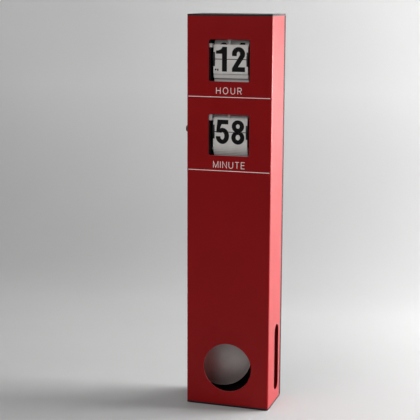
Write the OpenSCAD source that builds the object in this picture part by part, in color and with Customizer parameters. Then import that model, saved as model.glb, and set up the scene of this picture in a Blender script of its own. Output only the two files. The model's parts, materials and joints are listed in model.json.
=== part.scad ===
// Tall flip number clock with a swinging pendulum behind a round opening.
// Origin: centre of the footprint on the standing surface. +Z is up.
// The front with the two number windows faces -Y, +X is right seen from the front.

/* [Case] */
// Width of the case
case_w = 100; // [98:1:108]
// Depth of the case with its back panel
case_d = 59; // [58:1:64]
// Height from the standing surface to the top
case_h = 459; // [456:1:480]
// Thickness of the folded steel sheet
sheet_t = 1; // [0.8:0.1:1.2]
// Outside bend radius of the folded sheet
bend_r = 1.6; // [1.4:0.1:3]
// Width of the folded rear flanges
flange_w = 8; // [7:0.5:10]
// Thickness of the top and bottom cap plates
cap_t = 1.8; // [1.2:0.1:3]
// Depth of the cap lips inside the sheet
lip_h = 7; // [6.5:0.5:8]
// Thickness of the back panel at its rim
panel_t = 4.5; // [4:0.5:5]
// Thickness of the back panel inside its rim
panel_web = 2; // [1.8:0.1:2.5]
// Thickness of the felt pad under the bottom cap
felt_t = 0.6; // [0.6:0.1:2]

/* [Openings] */
// Width of each number window
window_w = 48; // [46:0.5:50]
// Height of each number window
window_h = 47; // [45:0.5:49]
// Corner radius of the number windows
window_r = 2; // [1:0.5:5]
// Height of the centre of the hour window
hour_window_z = 407.6; // [406:0.2:409]
// Height of the centre of the minute window
minute_window_z = 323.4; // [322:0.2:325]
// Radius of the round pendulum opening
round_r = 29; // [24:0.2:32]
// Height of the centre of the round opening
round_z = 48; // [46:0.2:56]
// Width of the side slots, across the pendulum plane
slot_w = 18; // [17:0.5:20]
// Height of the side slots
slot_h = 81; // [76:1:84]
// Height of the centre of the side slots
slot_z = 55.5; // [54:0.5:58]
// Radius of the hole for the setting knob
knob_hole_r = 4.5; // [4.2:0.1:6]

/* [Number drums] */
// Depth position of both drum axes
drum_y = -4; // [-4.5:0.1:-3.5]
// Height of the minute drum axis
minute_z = 326.4; // [326:0.1:327]
// Distance between the two drum axes
drum_gap = 82.4; // [81.8:0.1:82.6]
// Radius of the circle of card pivots
pitch_r = 20; // [19.8:0.1:20.2]
// Radius of the drum discs
disc_r = 21; // [20.8:0.05:21.2]
// Thickness of the drum discs
disc_t = 2; // [1.8:0.1:2.1]
// Distance between the inner faces of the two discs of a drum
disc_gap = 37.3; // [37.2:0.1:37.6]
// Radius of the drum arbors
arbor_r = 1.5; // [1.2:0.1:2]

/* [Number cards] */
// Number of minute cards
minute_cards = 60; // [48:4:60]
// Number of hour cards
hour_cards = 24; // [12:4:24]
// Thickness of a minute card
minute_card_t = 0.18; // [0.1:0.01:0.2]
// Thickness of an hour card
hour_card_t = 0.3; // [0.2:0.05:0.5]
// Width of a card
card_w = 40.5; // [40:0.5:43]
// Width of the card neck between the discs
neck_w = 36.9; // [36:0.1:37]
// Height of a card above the split line
card_h = 16.4; // [15:0.1:16.6]
// Height of the neck above the split line
neck_h = 8; // [7.8:0.1:9]
// Gap between the upper and the lower front card
split_gap = 0.8; // [0.2:0.05:1]

/* [Clockwork] */
// Gear module
gear_m = 0.8; // [0.8:0.1:0.8]
// Teeth of the pinions
pinion_n = 16; // [16:1:16]
// Teeth of the idler wheels
idler_n = 32; // [32:1:32]
// Teeth of the hour and the drive wheel
wheel_n = 48; // [48:1:48]
// Tooth clearance of a gear pair on the pitch circle
backlash = 0.16; // [0.1:0.02:0.2]
// Sideways offset angle of the first two idlers
zigzag = 10; // [9:0.5:12]
// Width of a gear
gear_t = 2.5; // [2:0.1:2.6]
// Thickness of the clockwork plates
plate_t = 2; // [1.6:0.1:2.2]
// Distance between the inner faces of the side plates
plate_gap = 46; // [45.6:0.2:46.4]
// Running clearance on a radius
run_gap = 0.05; // [0.03:0.01:0.08]

/* [Pendulum] */
// Height of the pendulum pivot
pivot_z = 268; // [267:0.5:270]
// Depth position of the pendulum plane
swing_y = 7.2; // [7:0.1:7.4]
// Angle at which the pendulum stands, towards the left
rest_swing = 5; // [-8:0.5:8]
// Distance from the pivot to the bob centre
bob_l = 217.7; // [214:0.1:218]
// Radius of the bob
bob_r = 38; // [36:0.5:38.5]
// Thickness of the bob at its centre
bob_t = 14; // [10:0.5:15]
// Thickness of the pressed bob shells
shell_t = 0.8; // [0.6:0.1:1]
// Radius of the pendulum rod
rod_r = 1.25; // [1:0.05:1.5]

/* [Battery drive] */
// Width of the drive housing
drive_w = 68; // [66:1:70]
// Height of the drive housing
drive_h = 69; // [68:0.5:70]
// Depth of the drive housing
drive_d = 16.5; // [16:0.1:16.8]
// Wall thickness of the drive housing
drive_wall = 1.6; // [1.2:0.1:1.8]
// Radius of a battery cell
cell_r = 7.25; // [7:0.05:7.25]
// Length of a battery cell without its cap
cell_l = 49.5; // [48:0.5:50]

/* [Hidden] */
$fn = 96;
// Card meshes and small holes stay light with fewer segments.
small_fn = 32;
bob_fn = 360;
step_over = 0.5;

// Case
front_y = -case_d / 2;
back_y = case_d / 2;
panel_y = back_y - panel_t;
web_y = back_y - panel_web;
rim_w = flange_w + 0.5;
wrap_d = case_d - panel_t;
wrap_z0 = felt_t + cap_t;
wrap_z1 = case_h - cap_t;
wrap_cy = (front_y + panel_y) / 2;
inner_w = case_w - 2 * sheet_t;
inner_d = wrap_d - 2 * sheet_t;
lip_gap = 0.2;
lip_t = 1.8;
boss_w = 7.4;
boss_d = 10;
felt_inset = 1;
felt_r = 3;
case_screw_x = case_w / 2 - flange_w / 2 - sheet_t;
case_screw_r = 1.3;
case_screw_l = 12;
cap_screw_dz = 4.5;
mid_screw_z = 150;

// Drums and cards
hour_z = minute_z + drum_gap;
disc_in = disc_gap / 2;
disc_out = disc_in + disc_t;
groove_h = 0.45;
groove_depth = 1.3;
ear_x = disc_in + 0.95;
ear_lo = 0.1;
ear_hi = 0.35;
minute_step = 360 / minute_cards;
hour_step = 360 / hour_cards;
plate_in = plate_gap / 2;
plate_out = plate_in + plate_t;
plate_front = front_y + sheet_t + 1.5;
plate_back = web_y - 5.5;
plate_z0 = minute_z - 43.4;
plate_z1 = hour_z + 33.2;
collar_x = plate_in - 1.1;
hub_r = 6;

// Frame
tie_r = 2;
tie_y = front_y + 5.5;
tie_top_z = hour_z + 28.2;
tie_mid_z = minute_z + 33.6;
tie_low_z = minute_z - 38.4;
tie_low_y = tie_y + 4;
finger_x = -0.8;
finger_w = 4.4;
finger_t = 0.6;
finger_tip_w = 1;
finger_taper = 4.4;
minute_finger_gap = 0.1;
hour_finger_gap = 1;
guide_t = 1.2;
guide_dz = 13.3;
minute_guide_h = 7.4;
hour_guide_h = 4.2;
bridge_d = 7.5;
bridge_h = 8;
bridge_y = web_y - bridge_d;
bridge_low_z = minute_z - 32.4;
bridge_top_z = hour_z + 25.2;
bridge_screw_x = 14;
frame_screw_r = 1.2;
frame_screw_l = 7;
bush_r = 3;
bush_flange_r = 4.2;
bush_flange_t = 0.8;

// Gear train
layer = [for (i = [0:3]) plate_out + 3 + i * 3.5];
train_in = plate_out + 17.5;
train_t = 1.5;
train_out = train_in + train_t;
train_arm = 8;
a_small = gear_m * (pinion_n + idler_n) / 2;
a_big = gear_m * (pinion_n + wheel_n) / 2;
minute_c = [drum_y, minute_z];
hour_c = [drum_y, hour_z];
idler_1_c = minute_c + a_small * [sin(zigzag), cos(zigzag)];
idler_2_c = idler_1_c + a_small * [-sin(zigzag), cos(zigzag)];
rest_gap = hour_z - idler_2_c[1];
rest_along = (a_small * a_small - a_big * a_big + rest_gap * rest_gap) / (2 * rest_gap);
rest_off = sqrt(a_small * a_small - rest_along * rest_along);
idler_3_c = idler_2_c + [rest_off, rest_along];
pin_r = 1;
sleeve_r = 2.5;
pillar_r = 3;
pillar_spigot_r = 1.5;
pillar_arm_z = idler_2_c[1] + 4;
pillar_c = [[drum_y, minute_z - 14.4], [drum_y, hour_z + 24.2],
            [drum_y - 18, pillar_arm_z], [drum_y + 21, pillar_arm_z]];

// Motor
motor_c = [drum_y, minute_z - a_big];
motor_w = 36;
motor_h = 31;
motor_x = plate_out + 7;
motor_d = 13;
motor_wall = 1.5;
motor_leg_r = 3;
motor_leg = [for (y = [-14, 14]) motor_c + [y, 5]];

// Knob
knob_r = 3.5;
knob_tip = case_w / 2 + 8.7;
knob_root = case_w / 2 + 0.8;
knob_neck_r = 2.6;
knob_flutes = 20;

// Pendulum and drive
pin_head_r = 2.6;
hanger_y0 = swing_y - 2.5;
hanger_t = 5;
hanger_w = 8;
hanger_l = 62;
magnet_l = 36;
magnet_r = 4.5;
socket_l = 16;
bob_curve_r = (bob_r * bob_r + bob_t * bob_t / 4) / bob_t;
drive_y = web_y - drive_d;
drive_z1 = plate_z0 - 2;
drive_z0 = drive_z1 - drive_h;
bay_w = drive_w - 6;
bay_h = 31.4;
bay_z0 = drive_z1 - drive_wall - bay_h;
room_z0 = drive_z0 + drive_wall;
room_h = bay_z0 - drive_wall - room_z0;
door_w = bay_w + 3;
door_h = bay_h + 1.4;
door_z = bay_z0 + bay_h / 2;
door_gap = 0.2;
cell_y = drive_y + drive_wall + cell_r + 0.15;
cell_dz = cell_r + 0.5;
drive_screw = [for (x = [-1, 1], z = [drive_z0 + 4, bay_z0 - 5]) [x * (drive_w / 2 - 4), z]];
wire_r = 0.6;
wire_y = drive_y + drive_wall + 5;
wire_z = room_z0 + 12;
wire_x = drive_w / 2 + 6;
wire_turn_z = drive_z1 - 20;
wire_end_y = motor_c[0] + 12;

// ---------- general shapes ----------

module rounded_rect(w, h, r) {
    square([w - 2 * r, h], center = true);
    square([w, h - 2 * r], center = true);
    for (x = [-1, 1], y = [-1, 1])
        translate([x * (w / 2 - r), y * (h / 2 - r)])
            circle(r);
}

// Turns a sketch in X and Z into a solid from y0 towards the back.
module upright(y0, depth) {
    translate([0, y0 + depth, 0])
        rotate([90, 0, 0])
            linear_extrude(depth)
                children();
}

// Turns a sketch in Y and Z into a solid from x0 towards the right.
module sideways(x0, width) {
    translate([x0, 0, 0])
        rotate([90, 0, 90])
            linear_extrude(width)
                children();
}

module shaft(x0, x1, c, r) {
    sideways(x0, x1 - x0)
        translate(c)
            circle(r);
}

module ring(outer_r, inner_r) {
    difference() {
        circle(outer_r);
        circle(inner_r);
    }
}

// Cross recess for a screw whose head is cut from z = 0 downwards.
module cross_recess(size, depth) {
    for (a = [0, 90])
        rotate([0, 0, a])
            translate([-size / 2, -0.3, -step_over])
                cube([size, 0.6, depth + step_over]);
}

// Pan head screw, shank along +Z from the seat at z = 0.
module pan_screw(r, l) {
    difference() {
        union() {
            translate([0, 0, -1.4])
                cylinder(r = 1.9 * r, h = 1.4, $fn = small_fn);
            cylinder(r = r, h = l, $fn = small_fn);
        }
        translate([0, 0, -1.4])
            cross_recess(2.2 * r, 0.8);
    }
}

// Countersunk screw, head flush with z = 0, shank along +Z.
module flush_screw(r, l) {
    difference() {
        union() {
            cylinder(r1 = 2 * r, r2 = r, h = r, $fn = small_fn);
            cylinder(r = r, h = l, $fn = small_fn);
        }
        cross_recess(2.2 * r, 0.7);
    }
}

module countersink(r, l) {
    cylinder(r1 = 2 * r + run_gap, r2 = r + run_gap, h = r, $fn = small_fn);
    cylinder(r = r + run_gap, h = l, $fn = small_fn);
}

module from_back(x, z) {
    translate([x, back_y, z])
        rotate([90, 0, 0])
            children();
}

module from_side(side, x, c) {
    translate([side * x, c[0], c[1]])
        rotate([0, -90 * side, 0])
            children();
}

// ---------- case ----------

function case_screw_places() = [
    for (x = [-1, 1], z = [wrap_z0 + cap_screw_dz, mid_screw_z, wrap_z1 - cap_screw_dz])
        [x * case_screw_x, z]
];

module wrap_section() {
    difference() {
        rounded_rect(case_w, wrap_d, bend_r);
        rounded_rect(inner_w, inner_d, bend_r - sheet_t);
        translate([0, wrap_d / 2])
            square([case_w - 2 * flange_w, 4 * sheet_t], center = true);
    }
}

module case_wrap() color("firebrick") difference() {
    translate([0, wrap_cy, wrap_z0])
        linear_extrude(wrap_z1 - wrap_z0)
            wrap_section();
    for (z = [hour_window_z, minute_window_z])
        upright(front_y - step_over, sheet_t + 2 * step_over)
            translate([0, z])
                rounded_rect(window_w, window_h, window_r);
    upright(front_y - step_over, sheet_t + 2 * step_over)
        translate([0, round_z])
            circle(round_r);
    for (side = [-1, 1])
        sideways(side * (case_w - sheet_t) / 2 - sheet_t, 2 * sheet_t)
            translate([swing_y, slot_z]) {
                square([slot_w, slot_h - slot_w], center = true);
                for (end = [-1, 1])
                    translate([0, end * (slot_h - slot_w) / 2])
                        circle(slot_w / 2);
            }
    shaft(-case_w / 2 - step_over, -case_w / 2 + sheet_t + step_over, minute_c, knob_hole_r);
    for (p = case_screw_places())
        from_back(p[0], p[1])
            cylinder(r = case_screw_r + run_gap, h = panel_t + 2 * sheet_t, $fn = small_fn);
}

// Cap seen with its outer face at z = 0 and the lip towards +Z.
module cap_body() {
    difference() {
        union() {
            linear_extrude(cap_t)
                rounded_rect(case_w, case_d, bend_r);
            translate([0, wrap_cy, cap_t])
                linear_extrude(lip_h)
                    difference() {
                        rounded_rect(inner_w - 2 * lip_gap, inner_d - 2 * lip_gap, 1);
                        square([inner_w - 2 * lip_t, inner_d - 2 * lip_t], center = true);
                    }
            for (x = [-1, 1])
                translate([x * case_screw_x - boss_w / 2, panel_y - sheet_t - lip_gap - boss_d, cap_t])
                    cube([boss_w, boss_d, lip_h]);
        }
        for (x = [-1, 1])
            translate([x * case_screw_x, back_y, cap_t + cap_screw_dz])
                rotate([90, 0, 0])
                    cylinder(r = case_screw_r, h = case_screw_l + 1.5, $fn = small_fn);
    }
}

module top_cap() color("dimgray")
    translate([0, 0, case_h])
        mirror([0, 0, 1])
            cap_body();

module bottom_cap() color("dimgray")
    translate([0, 0, felt_t])
        cap_body();

// The pad the clock stands on; its underside is at z = 0.
module base_felt() color("black")
    linear_extrude(felt_t)
        rounded_rect(case_w - 2 * felt_inset, case_d - 2 * felt_inset, felt_r);

module back_panel() color("dimgray") difference() {
    translate([-case_w / 2, panel_y, wrap_z0])
        cube([case_w, panel_t, wrap_z1 - wrap_z0]);
    // Pocket inside the rim.
    translate([-case_w / 2 + rim_w, panel_y - step_over, wrap_z0 + rim_w])
        cube([case_w - 2 * rim_w, panel_t - panel_web + step_over, wrap_z1 - wrap_z0 - 2 * rim_w]);
    upright(web_y - step_over, panel_web + 2 * step_over)
        translate([0, door_z])
            rounded_rect(door_w, door_h, 1);
    for (p = case_screw_places())
        from_back(p[0], p[1])
            countersink(case_screw_r, panel_t + step_over);
    for (p = panel_screw_places())
        from_back(p[0], p[1])
            countersink(frame_screw_r, panel_t + step_over);
}

module battery_cover() color("gray") {
    difference() {
        upright(web_y, panel_web)
            translate([0, door_z])
                rounded_rect(door_w - 2 * door_gap, door_h - 2 * door_gap, 1 - door_gap);
        // Finger groove along the upper edge.
        for (i = [0:3])
            translate([-9, back_y - 0.6, door_z + door_h / 2 - 5 - 2 * i])
                cube([18, 1, 1]);
    }
    // Two spring legs that grip inside the battery bay.
    for (x = [-1, 1])
        translate([x * (bay_w / 2 - 1.4) - 0.5, web_y - 4, door_z - 5])
            cube([1, 4, 10]);
}

module case_screws() color("silver")
    for (p = case_screw_places())
        from_back(p[0], p[1])
            flush_screw(case_screw_r, case_screw_l);

// ---------- frame of the clockwork ----------

function panel_screw_places() = concat(
    [for (x = [-1, 1], z = [bridge_low_z, bridge_top_z]) [x * bridge_screw_x, z]],
    drive_screw
);

function frame_screw_places() = [
    [tie_y, tie_top_z], [tie_y, tie_mid_z], [tie_low_y, tie_low_z],
    [bridge_y + 1.5, bridge_low_z], [bridge_y + 1.5, bridge_top_z]
];

module plate_outline() {
    translate([(plate_front + plate_back) / 2, (plate_z0 + plate_z1) / 2])
        rounded_rect(plate_back - plate_front, plate_z1 - plate_z0, 3);
}

module side_plate(side, motor) {
    x0 = side > 0 ? plate_in : -plate_out;
    difference() {
        sideways(x0, plate_t)
            difference() {
                plate_outline();
                for (c = [minute_c, hour_c])
                    translate(c)
                        circle(bush_r);
                for (z = [minute_z, hour_z], y = [-1, 1])
                    translate([drum_y + y * 13.5, z + 2])
                        rounded_rect(9, 22, 3);
                for (c = frame_screw_places())
                    translate(c)
                        circle(frame_screw_r + run_gap);
            }
        if (motor) {
            shaft(x0 - step_over, x0 + plate_t + step_over, motor_c, pin_r + run_gap);
            for (c = motor_leg)
                shaft(x0 - step_over, x0 + plate_t + step_over, c, frame_screw_r + run_gap);
        } else {
            for (c = [idler_1_c, idler_2_c, idler_3_c])
                shaft(x0 - step_over, x0 + plate_t + step_over, c, pin_r);
            for (c = pillar_c)
                shaft(x0 - step_over, x0 + plate_t + step_over, c, pillar_spigot_r);
        }
    }
}

module side_plate_left() color("dimgray")
    side_plate(-1, true);

module side_plate_right() color("dimgray")
    side_plate(1, false);

module tie_rods() color("silver")
    for (c = [[tie_y, tie_top_z], [tie_y, tie_mid_z], [tie_low_y, tie_low_z]])
        difference() {
            shaft(-plate_in, plate_in, c, tie_r);
            for (side = [-1, 1])
                from_side(side, plate_in + step_over, c)
                    cylinder(r = frame_screw_r, h = frame_screw_l, $fn = small_fn);
        }

module rear_bridges() color("dimgray")
    for (z = [bridge_low_z, bridge_top_z])
        difference() {
            translate([-plate_in, bridge_y, z - bridge_h / 2])
                cube([plate_gap, bridge_d, bridge_h]);
            for (side = [-1, 1])
                from_side(side, plate_in + step_over, [bridge_y + 1.5, z])
                    cylinder(r = frame_screw_r, h = frame_screw_l, $fn = small_fn);
            for (x = [-1, 1])
                from_back(x * bridge_screw_x, z)
                    cylinder(r = frame_screw_r, h = frame_screw_l + 1, $fn = small_fn);
        }

module frame_screws() color("silver")
    for (c = frame_screw_places(), side = [-1, 1])
        from_side(side, plate_out, c)
            pan_screw(frame_screw_r, frame_screw_l);

module panel_screws() color("silver")
    for (p = panel_screw_places())
        from_back(p[0], p[1])
            flush_screw(frame_screw_r, frame_screw_l);

// Pointed finger that hangs from a tie rod down to just above the front card.
module finger(rod_z, tip_z) {
    w = finger_w / 2;
    tip = finger_tip_w / 2;
    shoulder_z = tip_z + finger_taper;
    difference() {
        union() {
            sideways(finger_x - w, finger_w)
                translate([tie_y, rod_z])
                    circle(tie_r + 1);
            upright(tie_y - 1.6, finger_t)
                translate([finger_x, 0])
                    polygon([[-w, rod_z], [-w, shoulder_z], [-tip, tip_z],
                             [tip, tip_z], [w, shoulder_z], [w, rod_z]]);
        }
        shaft(-finger_w, finger_w, [tie_y, rod_z], tie_r);
    }
}

module hour_finger() color("ivory")
    finger(tie_top_z, hour_z + card_h + hour_finger_gap);

module minute_finger() color("ivory")
    finger(tie_mid_z, minute_z + card_h + minute_finger_gap);

// Guides beside the falling cards, each hooked round the front edge of the left side plate.
module flap_guides() color("ivory")
    for (guide = [[minute_z, minute_guide_h], [hour_z, hour_guide_h]])
        translate([-plate_in, plate_front - guide_t, guide[0] + guide_dz]) {
            cube([plate_in - card_w / 2 - 0.25, guide_t + 5, guide[1]]);
            translate([-plate_t, 0, 0])
                cube([plate_t + 1, guide_t, guide[1]]);
        }

module bushes() color("goldenrod")
    for (c = [minute_c, hour_c], side = [-1, 1])
        from_side(side, plate_out, c)
            difference() {
                union() {
                    cylinder(r = bush_r, h = plate_t);
                    translate([0, 0, plate_t])
                        cylinder(r = bush_flange_r, h = bush_flange_t);
                }
                translate([0, 0, -step_over])
                    cylinder(r = arbor_r + run_gap, h = plate_t + 2);
            }

// ---------- gears ----------

function inv_deg(a) = tan(a) * 180 / PI - a;
function base_r(n) = gear_m * n / 2 * cos(20);
function flank_angle(n, r) =
    90 / n - backlash / 2 / (gear_m * n / 2) * 90 / PI
    + inv_deg(20) - inv_deg(acos(min(1, base_r(n) / r)));

// Points of one tooth flank from the base circle to the tip.
function flank(n, side) = [
    for (i = [0:5])
        let (
            f = side > 0 ? 5 - i : i,
            r0 = base_r(n),
            r1 = gear_m * (n / 2 + 0.95),
            r = r0 + (r1 - r0) * f / 5,
            a = side * flank_angle(n, r)
        )
        r * [cos(a), sin(a)]
];

function turned(p, a) = [p[0] * cos(a) - p[1] * sin(a), p[0] * sin(a) + p[1] * cos(a)];

function tooth(n) =
    let (
        root = gear_m * (n / 2 - 1.25),
        a = flank_angle(n, base_r(n))
    )
    concat(
        [root * [cos(a), -sin(a)]],
        flank(n, -1),
        flank(n, 1),
        [root * [cos(a), sin(a)]]
    );

module gear_section(n, phase) {
    polygon([for (i = [0:n - 1], p = tooth(n)) turned(p, phase + i * 360 / n)]);
}

// Direction from one gear centre to the next, and the phase that brings them into mesh.
function heading(a, b) = atan2(b[1] - a[1], b[0] - a[0]);
function mesh(phase, n_a, n_b, dir) = dir + 180 + 180 / n_b - (phase - dir) * n_a / n_b;

phase_1 = mesh(0, pinion_n, idler_n, heading(minute_c, idler_1_c));
phase_2 = mesh(phase_1, pinion_n, idler_n, heading(idler_1_c, idler_2_c));
phase_3 = mesh(phase_2, pinion_n, idler_n, heading(idler_2_c, idler_3_c));
phase_hour = mesh(phase_3, pinion_n, wheel_n, heading(idler_3_c, hour_c));
phase_motor = mesh(0, wheel_n, pinion_n, heading(minute_c, motor_c));

module gear(x0, c, n, phase, bore) {
    sideways(x0, gear_t)
        translate(c)
            difference() {
                gear_section(n, phase);
                circle(bore);
                if (n > pinion_n)
                    for (i = [0:5])
                        rotate(i * 60)
                            translate([gear_m * n * 0.3, 0])
                                circle(gear_m * n * 0.09);
            }
}

module collar(x0, x1, c, r, bore) {
    sideways(x0, x1 - x0)
        translate(c)
            ring(r, bore);
}

module idler(c, i, phase) {
    gear(layer[i], c, idler_n, phase, pin_r + run_gap);
    gear(layer[i + 1], c, pinion_n, phase, pin_r + run_gap);
    collar(plate_out + 0.3, train_in - 0.3, c, sleeve_r, pin_r + run_gap);
}

module idler_1() color("ivory")
    idler(idler_1_c, 0, phase_1);

module idler_2() color("ivory")
    idler(idler_2_c, 1, phase_2);

module idler_3() color("ivory")
    idler(idler_3_c, 2, phase_3);

module idler_pins() color("silver")
    for (c = [idler_1_c, idler_2_c, idler_3_c])
        shaft(plate_in, train_out - 0.1, c, pin_r);

module train_plate() color("goldenrod")
    sideways(train_in, train_t)
        difference() {
            union() {
                translate([drum_y, (pillar_c[0][1] + pillar_c[1][1]) / 2])
                    rounded_rect(2 * train_arm, pillar_c[1][1] - pillar_c[0][1] + train_arm, 3);
                translate([(pillar_c[2][0] + pillar_c[3][0]) / 2, pillar_c[2][1]])
                    rounded_rect(pillar_c[3][0] - pillar_c[2][0] + train_arm, train_arm + 4, 3);
            }
            for (c = [minute_c, hour_c])
                translate(c)
                    circle(arbor_r + run_gap);
            for (c = [idler_1_c, idler_2_c, idler_3_c])
                translate(c)
                    circle(pin_r);
            for (c = pillar_c)
                translate(c)
                    circle(frame_screw_r + run_gap);
        }

module train_pillars() color("goldenrod")
    for (c = pillar_c)
        difference() {
            union() {
                shaft(plate_in + 0.2, plate_out, c, pillar_spigot_r);
                shaft(plate_out, train_in, c, pillar_r);
            }
            from_side(1, train_out, c)
                cylinder(r = frame_screw_r, h = frame_screw_l + 0.5, $fn = small_fn);
        }

module train_screws() color("silver")
    for (c = pillar_c)
        from_side(1, train_out, c)
            pan_screw(frame_screw_r, frame_screw_l);

// ---------- drums ----------

module drum_disc(side, axis_z) {
    translate([0, drum_y, axis_z])
        rotate([0, 90 * side, 0])
            difference() {
                union() {
                    translate([0, 0, disc_in])
                        cylinder(r = disc_r, h = disc_t);
                    cylinder(r = 4, h = collar_x);
                }
                cylinder(r = 4 + step_over, h = disc_in);
                translate([0, 0, disc_in - step_over])
                    cylinder(r = arbor_r, h = collar_x);
                translate([0, 0, disc_in - step_over])
                    linear_extrude(groove_depth + step_over)
                        ring(pitch_r + groove_h, pitch_r - groove_h);
                for (i = [0:5])
                    rotate([0, 0, 60 * i])
                        translate([12.5, 0, disc_in - step_over])
                            cylinder(r = 3.6, h = disc_t + 2 * step_over);
            }
}

module drum_hub(axis_z) {
    c = [drum_y, axis_z];
    collar(-disc_in, disc_in, c, hub_r, arbor_r);
    for (side = [-1, 1])
        collar(side * (disc_in - 1) - 1, side * (disc_in - 1) + 1, c, hub_r + 2.5, arbor_r);
}

module minute_arbor() color("silver")
    shaft(-knob_tip + 3, train_out - 0.1, minute_c, arbor_r);

module minute_disc_left() color("dimgray")
    drum_disc(-1, minute_z);

module minute_disc_right() color("dimgray")
    drum_disc(1, minute_z);

module minute_hub() color("dimgray")
    drum_hub(minute_z);

module minute_pinion() color("ivory") {
    gear(layer[0], minute_c, pinion_n, 0, arbor_r);
    collar(plate_out + 0.3, layer[0], minute_c, arbor_r + 2, arbor_r);
}

module drive_wheel() color("ivory") {
    gear(-layer[0] - gear_t, minute_c, wheel_n, 0, arbor_r);
    collar(-layer[0], -plate_out - 0.3, minute_c, arbor_r + 3, arbor_r);
    collar(-layer[0] - gear_t - 2, -layer[0] - gear_t, minute_c, arbor_r + 3, arbor_r);
}

module set_knob() color("dimgray")
    difference() {
        union() {
            shaft(-knob_tip, -knob_root, minute_c, knob_r);
            shaft(-knob_root, -case_w / 2 + 4, minute_c, knob_neck_r);
        }
        shaft(-knob_tip + 3, -case_w / 2 + 5, minute_c, arbor_r);
        for (i = [0:knob_flutes - 1])
            shaft(-knob_tip - step_over, -knob_root + step_over,
                  minute_c + (knob_r + 0.1) * [cos(i * 360 / knob_flutes), sin(i * 360 / knob_flutes)],
                  0.35, $fn = small_fn);
    }

module hour_arbor() color("silver")
    shaft(-plate_out - 0.6, train_out - 0.1, hour_c, arbor_r);

module hour_disc_left() color("dimgray")
    drum_disc(-1, hour_z);

module hour_disc_right() color("dimgray")
    drum_disc(1, hour_z);

module hour_hub() color("dimgray")
    drum_hub(hour_z);

module hour_wheel() color("ivory") {
    gear(layer[3], hour_c, wheel_n, phase_hour, arbor_r);
    collar(plate_out + 0.3, layer[3], hour_c, arbor_r + 2, arbor_r);
}

// ---------- number cards ----------

function pivot_dz(step) = pitch_r * sin(step / 2);

// Card outline from its pivot, standing upwards; below is how far it reaches past the pivot.
module card_outline(step, below) {
    top = card_h - pivot_dz(step);
    shoulder = neck_h - pivot_dz(step);
    w = card_w / 2;
    n = neck_w / 2;
    cut = 0.8;
    right = [
        [n, -below], [n, -ear_lo], [ear_x, -ear_lo], [ear_x, ear_hi], [n, ear_hi],
        [n, shoulder], [w, shoulder], [w, top - cut], [w - cut, top]
    ];
    polygon(concat(right, [for (i = [len(right) - 1:-1:0]) [-right[i][0], right[i][1]]]));
}

// One card at pivot angle a above the front, leaning back by lean degrees.
module card(axis_z, step, t, a, lean, below) {
    translate([0, drum_y - pitch_r * cos(a), axis_z + pitch_r * sin(a)])
        rotate([-lean, 0, 0])
            upright(-t / 2, t)
                card_outline(step, below);
}

module upper_cards(axis_z, step, t, from, to, below) {
    for (k = [from:to])
        card(axis_z, step, t, (k + 0.5) * step, k * step, below);
}

module lower_cards(axis_z, step, t, from, to, below) {
    for (k = [from:to])
        card(axis_z, step, t, -(k + 0.5) * step, 180, below);
}

function reach(step) = pivot_dz(step) - split_gap / 2;

module minute_flap() color("gainsboro")
    upper_cards(minute_z, minute_step, minute_card_t, 0, 0, reach(minute_step));

module minute_pack_upper() color("gainsboro")
    upper_cards(minute_z, minute_step, minute_card_t, 1, minute_cards / 2 - 1, ear_lo);

module minute_pack_lower() color("gainsboro") {
    lower_cards(minute_z, minute_step, minute_card_t, 0, 0, reach(minute_step));
    lower_cards(minute_z, minute_step, minute_card_t, 1, minute_cards / 2 - 1, ear_lo);
}

module hour_flap() color("gainsboro")
    upper_cards(hour_z, hour_step, hour_card_t, 0, 0, reach(hour_step));

module hour_pack_upper() color("gainsboro")
    upper_cards(hour_z, hour_step, hour_card_t, 1, hour_cards / 2 - 1, reach(hour_step));

module hour_pack_lower() color("gainsboro")
    lower_cards(hour_z, hour_step, hour_card_t, 0, hour_cards / 2 - 1, reach(hour_step));

// ---------- motor ----------

module motor_outline(inset) {
    translate([motor_c[0], motor_c[1]])
        rounded_rect(motor_w - 2 * inset, motor_h - 2 * inset, 3);
}

module motor_housing() color("dimgray")
    difference() {
        union() {
            sideways(-motor_x - motor_d, motor_d)
                motor_outline(0);
            for (c = motor_leg)
                shaft(-motor_x, -plate_out, c, motor_leg_r);
        }
        sideways(-motor_x - motor_d - step_over, motor_d - motor_wall + step_over)
            motor_outline(motor_wall);
        shaft(-motor_x - motor_wall - step_over, -motor_x + step_over, motor_c, pin_r + run_gap);
        for (c = motor_leg)
            from_side(-1, plate_in, c)
                translate([0, 0, -frame_screw_l - 1])
                    cylinder(r = frame_screw_r, h = frame_screw_l + 1, $fn = small_fn);
    }

module motor_cover() color("dimgray")
    sideways(-motor_x - motor_d - motor_wall, motor_wall)
        motor_outline(0);

module motor_coil() color("chocolate")
    translate([-motor_x - motor_d / 2 - 1, motor_c[0], motor_c[1] - 9])
        rotate([90, 0, 0])
            difference() {
                union() {
                    cylinder(r = 3.5, h = 20, center = true);
                    for (z = [-1, 1])
                        translate([0, 0, 10 * z])
                            cylinder(r = 4.5, h = 1.5, center = true);
                }
                cylinder(r = 1.5, h = 24, center = true);
            }

module motor_pinion() color("ivory") {
    gear(-layer[0] - gear_t, motor_c, pinion_n, phase_motor, pin_r - 0.2);
    shaft(-motor_x - motor_d / 2, -plate_in - 0.3, motor_c, pin_r);
}

module motor_screws() color("silver")
    for (c = motor_leg)
        translate([-plate_in, c[0], c[1]])
            rotate([0, -90, 0])
                pan_screw(frame_screw_r, frame_screw_l);

// ---------- pendulum ----------

// Places a piece drawn with the pivot at the origin and the pendulum hanging down.
module hung() {
    translate([0, swing_y, pivot_z])
        rotate([0, rest_swing, 0])
            children();
}

module pendulum_pin() color("silver") {
    upright(hanger_y0 - 2, drive_y + 1.4 - hanger_y0 + 2)
        translate([0, pivot_z])
            circle(arbor_r);
    upright(hanger_y0 - 2, 1)
        translate([0, pivot_z])
            circle(pin_head_r);
}

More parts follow.
